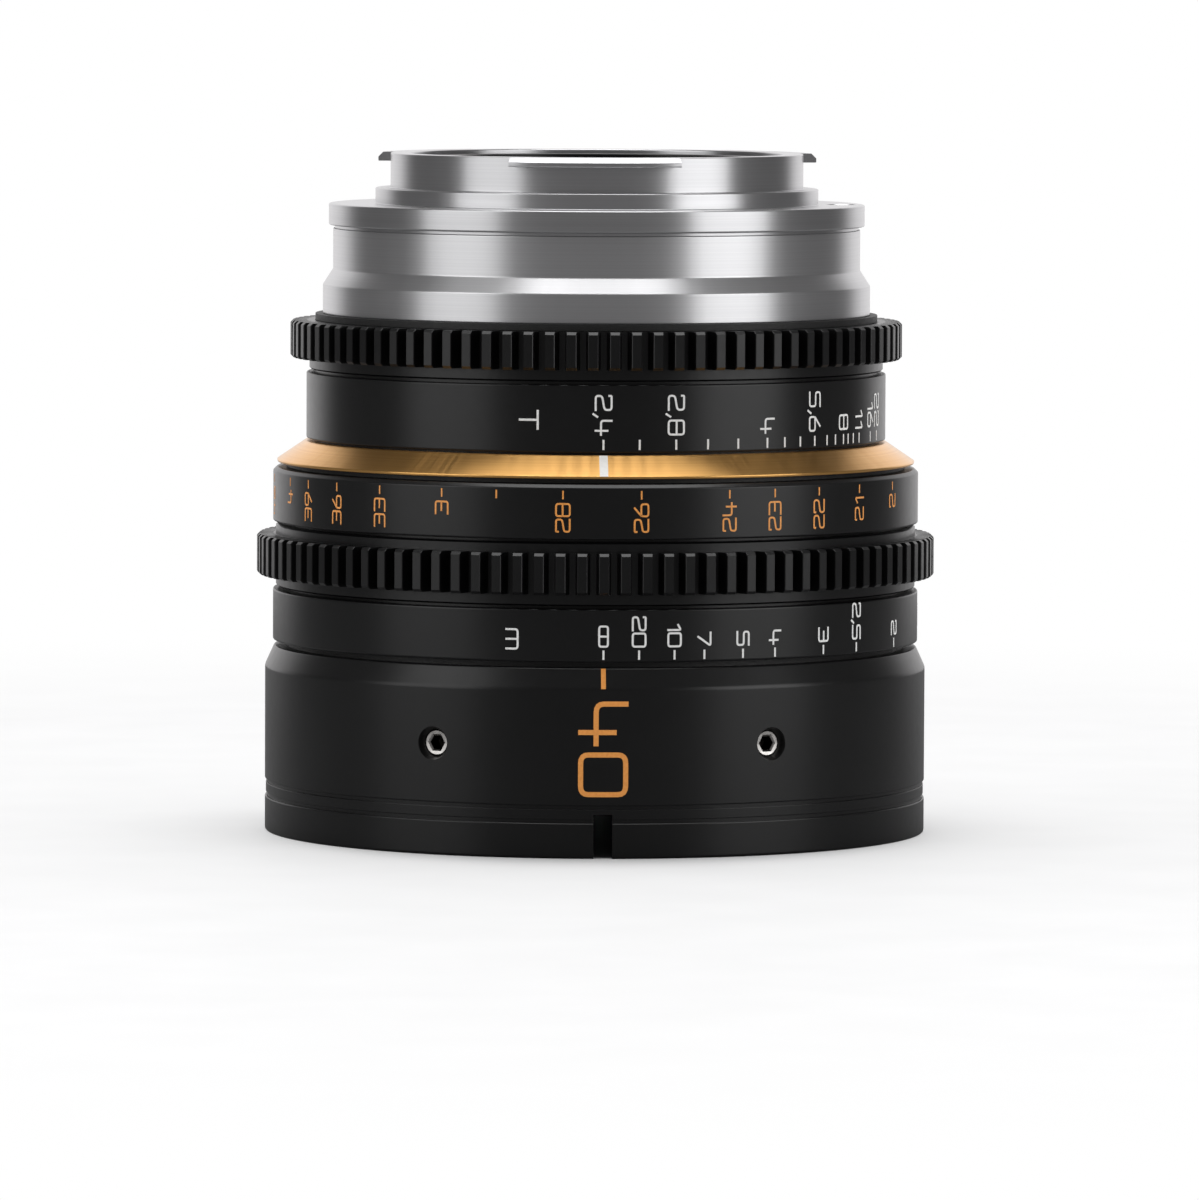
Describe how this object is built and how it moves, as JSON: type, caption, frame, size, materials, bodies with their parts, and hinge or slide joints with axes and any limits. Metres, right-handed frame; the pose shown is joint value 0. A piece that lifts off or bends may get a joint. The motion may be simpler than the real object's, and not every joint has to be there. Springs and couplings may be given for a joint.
{
  "type": "cinema prime lens",
  "caption": "Cinema prime lens with geared focus and iris rings, conical index ring, filter thread and bayonet mount.",
  "frame": {"origin": "on the optical axis in the plane of the front rim, on which the lens stands", "axes": "+Z along the optical axis from the front rim to the camera mount, -Y towards the scale index"},
  "size_m": [0.082, 0.082, 0.082],
  "materials": {
    "black_anodised": "black satin anodised",
    "plain_aluminium": "clear anodised, fine turned",
    "gold_anodised": "gold anodised, bright turned",
    "mount_steel": "turned and polished",
    "screw_steel": "plain",
    "pin_steel": "ground",
    "cam_brass": "turned",
    "washer_plastic": "black low-friction",
    "blade_steel": "matt black",
    "coated_glass": "anti-reflection coated"
  },
  "bodies": {
    "fixed_barrel": {"front_ring": "black_anodised", "front_barrel": "black_anodised", "front_set_screws": "screw_steel", "front_baffle": "black_anodised", "main_barrel": "plain_aluminium", "focus_front_washer": "washer_plastic", "focus_rear_washer": "washer_plastic", "iris_front_washer": "washer_plastic", "iris_rear_washer": "washer_plastic", "index_ring": "gold_anodised", "rear_barrel": "plain_aluminium", "flange_shim": "mount_steel", "bayonet_mount": "mount_steel", "mount_screws": "screw_steel", "rear_baffle": "black_anodised"},
    "focus_ring": {"focus_sleeve": "black_anodised", "focus_cam_ring": "cam_brass", "focus_key_screws": "screw_steel", "focus_gear": "black_anodised", "distance_ring": "black_anodised"},
    "iris_ring": {"iris_ring": "black_anodised", "iris_gear": "black_anodised", "iris_drive_pin": "pin_steel"},
    "optical_unit": {"lens_carrier": "plain_aluminium", "cam_followers": "pin_steel", "front_cell": "black_anodised", "front_retainer": "black_anodised", "front_element": "coated_glass", "front_doublet_crown": "coated_glass", "front_doublet_flint": "coated_glass", "doublet_retainer": "black_anodised", "rear_cell": "black_anodised", "rear_cell_screws": "screw_steel", "rear_doublet_flint": "coated_glass", "rear_doublet_crown": "coated_glass", "rear_spacer": "black_anodised", "rear_element": "coated_glass", "rear_retainer": "black_anodised", "iris_base": "black_anodised", "iris_retainer": "black_anodised"},
    "iris_rotor": {"iris_rotor": "black_anodised"},
    "iris_blade_01": {"iris_blade_01": "blade_steel"},
    "iris_blade_02": {"iris_blade_02": "blade_steel"},
    "iris_blade_03": {"iris_blade_03": "blade_steel"},
    "iris_blade_04": {"iris_blade_04": "blade_steel"},
    "iris_blade_05": {"iris_blade_05": "blade_steel"},
    "iris_blade_06": {"iris_blade_06": "blade_steel"},
    "iris_blade_07": {"iris_blade_07": "blade_steel"},
    "iris_blade_08": {"iris_blade_08": "blade_steel"},
    "iris_blade_09": {"iris_blade_09": "blade_steel"},
    "iris_blade_10": {"iris_blade_10": "blade_steel"}
  },
  "joints": [
    {"name": "focus_turn", "type": "hinge", "parent": "fixed_barrel", "child": "focus_ring", "pos_m": [0, 0, 0.0335], "axis": [0, 0, -1], "range_deg": [0, 270]},
    {"name": "iris_turn", "type": "hinge", "parent": "fixed_barrel", "child": "iris_ring", "pos_m": [0, 0, 0.055], "axis": [0, 0, -1], "range_deg": [0, 72.5]},
    {"name": "optical_slide", "type": "slide", "parent": "fixed_barrel", "child": "optical_unit", "axis": [0, 0, -1], "range_m": [0, 0.005]},
    {"name": "rotor_turn", "type": "hinge", "parent": "optical_unit", "child": "iris_rotor", "pos_m": [0, 0, 0.049], "axis": [0, 0, -1], "range_deg": [0, 72.5]},
    {"name": "iris_blade_01_pivot", "type": "hinge", "parent": "optical_unit", "child": "iris_blade_01", "pos_m": [0.02, 0, 0.046], "axis": [0, 0, 1], "range_deg": [0, 26.3]},
    {"name": "iris_blade_02_pivot", "type": "hinge", "parent": "optical_unit", "child": "iris_blade_02", "pos_m": [0.01618, 0.01176, 0.046], "axis": [0, 0, 1], "range_deg": [0, 26.3]},
    {"name": "iris_blade_03_pivot", "type": "hinge", "parent": "optical_unit", "child": "iris_blade_03", "pos_m": [0.00618, 0.01902, 0.046], "axis": [0, 0, 1], "range_deg": [0, 26.3]},
    {"name": "iris_blade_04_pivot", "type": "hinge", "parent": "optical_unit", "child": "iris_blade_04", "pos_m": [-0.00618, 0.01902, 0.046], "axis": [0, 0, 1], "range_deg": [0, 26.3]},
    {"name": "iris_blade_05_pivot", "type": "hinge", "parent": "optical_unit", "child": "iris_blade_05", "pos_m": [-0.01618, 0.01176, 0.046], "axis": [0, 0, 1], "range_deg": [0, 26.3]},
    {"name": "iris_blade_06_pivot", "type": "hinge", "parent": "optical_unit", "child": "iris_blade_06", "pos_m": [-0.02, 0, 0.046], "axis": [0, 0, 1], "range_deg": [0, 26.3]},
    {"name": "iris_blade_07_pivot", "type": "hinge", "parent": "optical_unit", "child": "iris_blade_07", "pos_m": [-0.01618, -0.01176, 0.046], "axis": [0, 0, 1], "range_deg": [0, 26.3]},
    {"name": "iris_blade_08_pivot", "type": "hinge", "parent": "optical_unit", "child": "iris_blade_08", "pos_m": [-0.00618, -0.01902, 0.046], "axis": [0, 0, 1], "range_deg": [0, 26.3]},
    {"name": "iris_blade_09_pivot", "type": "hinge", "parent": "optical_unit", "child": "iris_blade_09", "pos_m": [0.00618, -0.01902, 0.046], "axis": [0, 0, 1], "range_deg": [0, 26.3]},
    {"name": "iris_blade_10_pivot", "type": "hinge", "parent": "optical_unit", "child": "iris_blade_10", "pos_m": [0.01618, -0.01176, 0.046], "axis": [0, 0, 1], "range_deg": [0, 26.3]}
  ],
  "couplings": [
    {"joint": "focus_turn", "follows": "optical_slide", "rad_per_m": 942.47},
    {"joint": "rotor_turn", "follows": "iris_turn", "ratio": 1},
    {"joint": "iris_blade_01_pivot", "follows": "iris_turn", "ratio": 0.36275},
    {"joint": "iris_blade_02_pivot", "follows": "iris_turn", "ratio": 0.36275},
    {"joint": "iris_blade_03_pivot", "follows": "iris_turn", "ratio": 0.36275},
    {"joint": "iris_blade_04_pivot", "follows": "iris_turn", "ratio": 0.36275},
    {"joint": "iris_blade_05_pivot", "follows": "iris_turn", "ratio": 0.36275},
    {"joint": "iris_blade_06_pivot", "follows": "iris_turn", "ratio": 0.36275},
    {"joint": "iris_blade_07_pivot", "follows": "iris_turn", "ratio": 0.36275},
    {"joint": "iris_blade_08_pivot", "follows": "iris_turn", "ratio": 0.36275},
    {"joint": "iris_blade_09_pivot", "follows": "iris_turn", "ratio": 0.36275},
    {"joint": "iris_blade_10_pivot", "follows": "iris_turn", "ratio": 0.36275}
  ]
}
